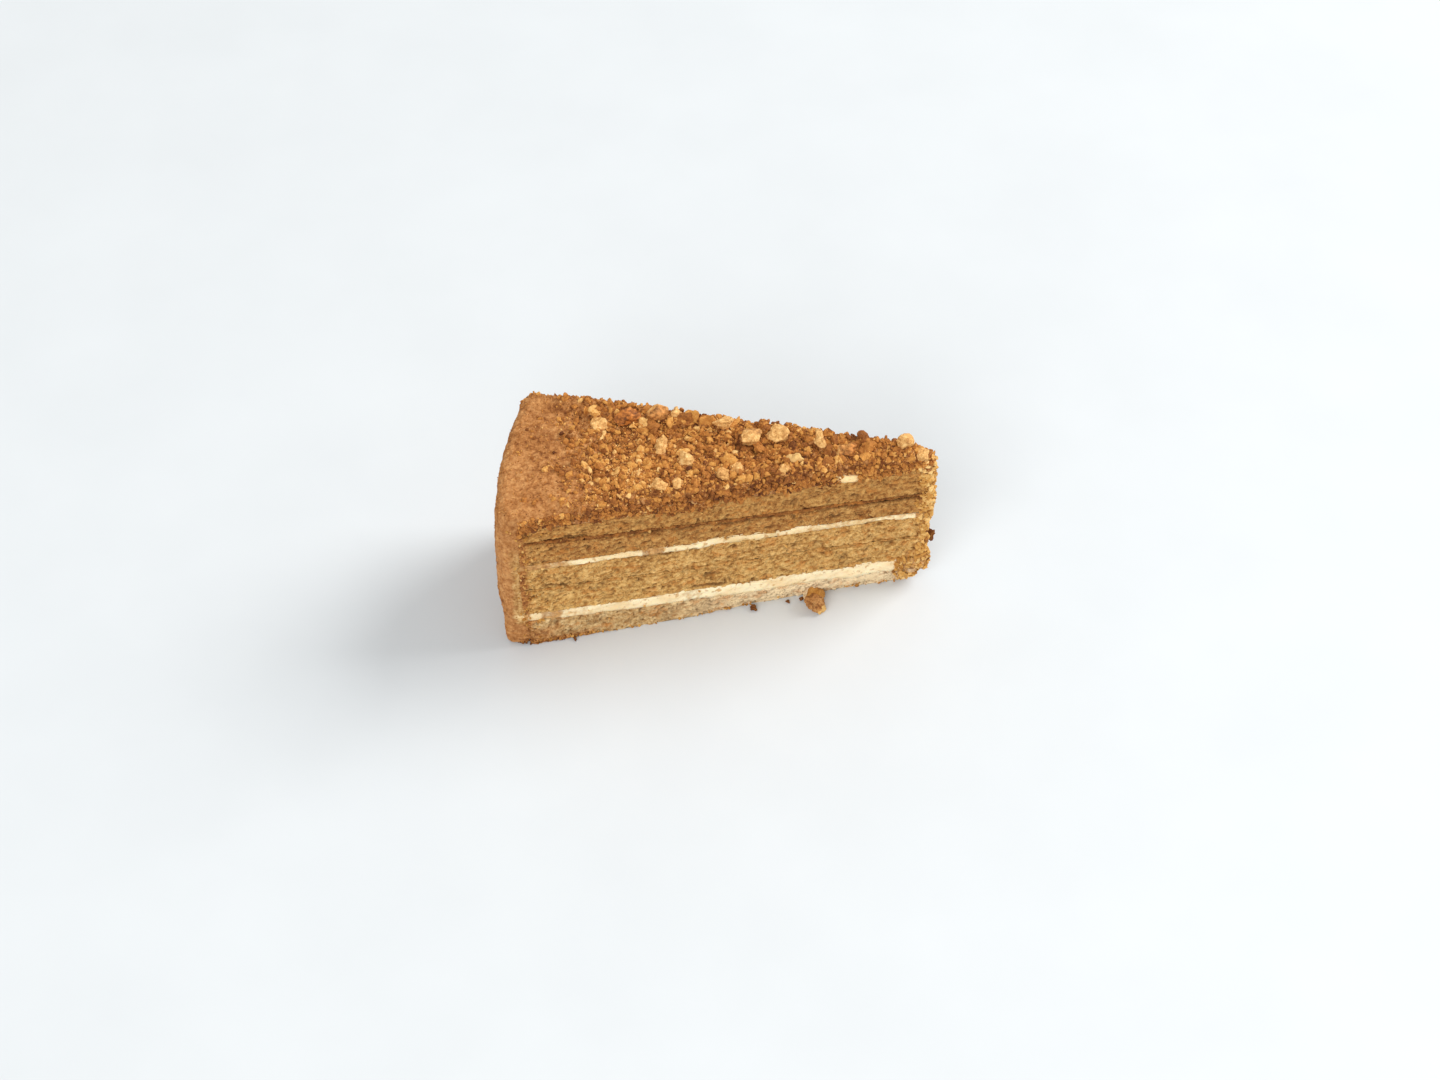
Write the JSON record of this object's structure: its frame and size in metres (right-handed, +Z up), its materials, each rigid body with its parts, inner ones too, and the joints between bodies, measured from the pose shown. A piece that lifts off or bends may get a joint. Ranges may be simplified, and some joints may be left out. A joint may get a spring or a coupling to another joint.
{
  "type": "slice of honey layer cake",
  "caption": "Tall wedge slice of layered honey cake: sponges with thin cream fillings, a crumb coat on the top and outer wall, and broken walnuts on top.",
  "frame": {"origin": "under the middle of the slice, on the surface it stands on", "axes": "+X towards the slice's point, -Y the cut face that the picture shows, +Z up"},
  "size_m": [0.1298, 0.0503, 0.0601],
  "materials": {
    "sponge": "soft open honey sponge, matt",
    "cream": "ivory sour cream filling, satin",
    "soaked_cream": "thin cream soaked into the sponge, matt",
    "crumb_coat": "fine and coarse sponge crumbs with bits of walnut, matt"
  },
  "bodies": {
    "root": {"sponge_1": "sponge", "cream_1": "cream", "sponge_2": "sponge", "cream_2": "soaked_cream", "sponge_3": "sponge", "cream_3": "cream", "sponge_4": "sponge", "cream_4": "soaked_cream", "sponge_5": "sponge", "cream_top": "cream", "crumb_coat": "crumb_coat"}
  },
  "joints": []
}
